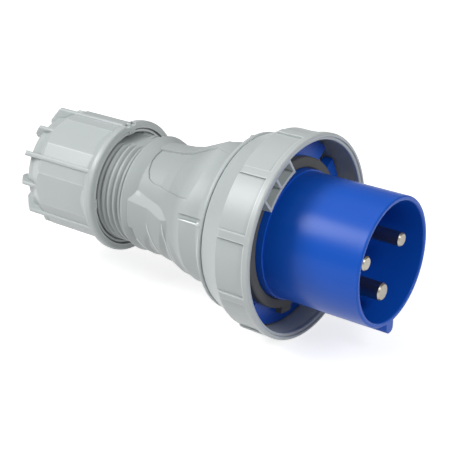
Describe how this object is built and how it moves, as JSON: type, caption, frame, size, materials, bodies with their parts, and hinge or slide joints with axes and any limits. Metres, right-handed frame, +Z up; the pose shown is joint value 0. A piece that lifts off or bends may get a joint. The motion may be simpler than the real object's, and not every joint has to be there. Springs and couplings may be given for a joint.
{
  "type": "industrial pin and sleeve plug",
  "caption": "Cable-end pin and sleeve plug with a blue contact sleeve, recessed pins, bayonet locking ring and a winged gland nut.",
  "frame": {"origin": "centre of the contact sleeve's front rim", "axes": "+X along the plug's axis, the way it enters its socket; +Z up; the earth pin and the key are at -Z"},
  "size_m": [0.2392, 0.1152, 0.1152],
  "materials": {
    "grey_plastic": "light grey moulded polyamide with a fine matt grain",
    "blue_plastic": "mid blue moulded polyamide, satin gloss",
    "seal_rubber": "dark taupe sealing rubber",
    "grommet_rubber": "black rubber",
    "gland_plastic": "dark grey polyamide",
    "contact_metal": "nickel-plated brass, turned",
    "screw_steel": "plated steel"
  },
  "bodies": {
    "plug_body": {"housing": "grey_plastic", "contact_sleeve": "blue_plastic", "face_seal": "seal_rubber", "spigot_seal": "seal_rubber", "pin_retainer": "grey_plastic", "retainer_screws": "screw_steel", "flange_screws": "screw_steel", "clamping_cage": "gland_plastic", "cable_grommet": "grommet_rubber", "line_pin": "contact_metal", "neutral_pin": "contact_metal", "earth_pin": "contact_metal", "line_terminal_screws": "screw_steel", "neutral_terminal_screws": "screw_steel", "earth_terminal_screws": "screw_steel", "line_pressure_plate": "contact_metal", "neutral_pressure_plate": "contact_metal", "earth_pressure_plate": "contact_metal"},
    "lock": {"locking_ring": "grey_plastic"},
    "gland_slider": {"slip_ring": "gland_plastic"},
    "gland": {"gland_nut": "grey_plastic"}
  },
  "joints": [
    {"name": "ring_turn", "type": "hinge", "parent": "plug_body", "child": "lock", "pos_m": [-0.08, 0, 0], "axis": [1, 0, 0], "range_deg": [-60, 60]},
    {"name": "nut_travel", "type": "slide", "parent": "plug_body", "child": "gland_slider", "axis": [1, 0, 0], "range_m": [-0.02401, 0.00801]},
    {"name": "nut_turn", "type": "hinge", "parent": "gland_slider", "child": "gland", "pos_m": [-0.205, 0, 0], "axis": [1, 0, 0], "range_deg": [-2160, 720]}
  ],
  "couplings": [
    {"joint": "nut_travel", "follows": "nut_turn", "m_per_rad": 0.00063662}
  ]
}
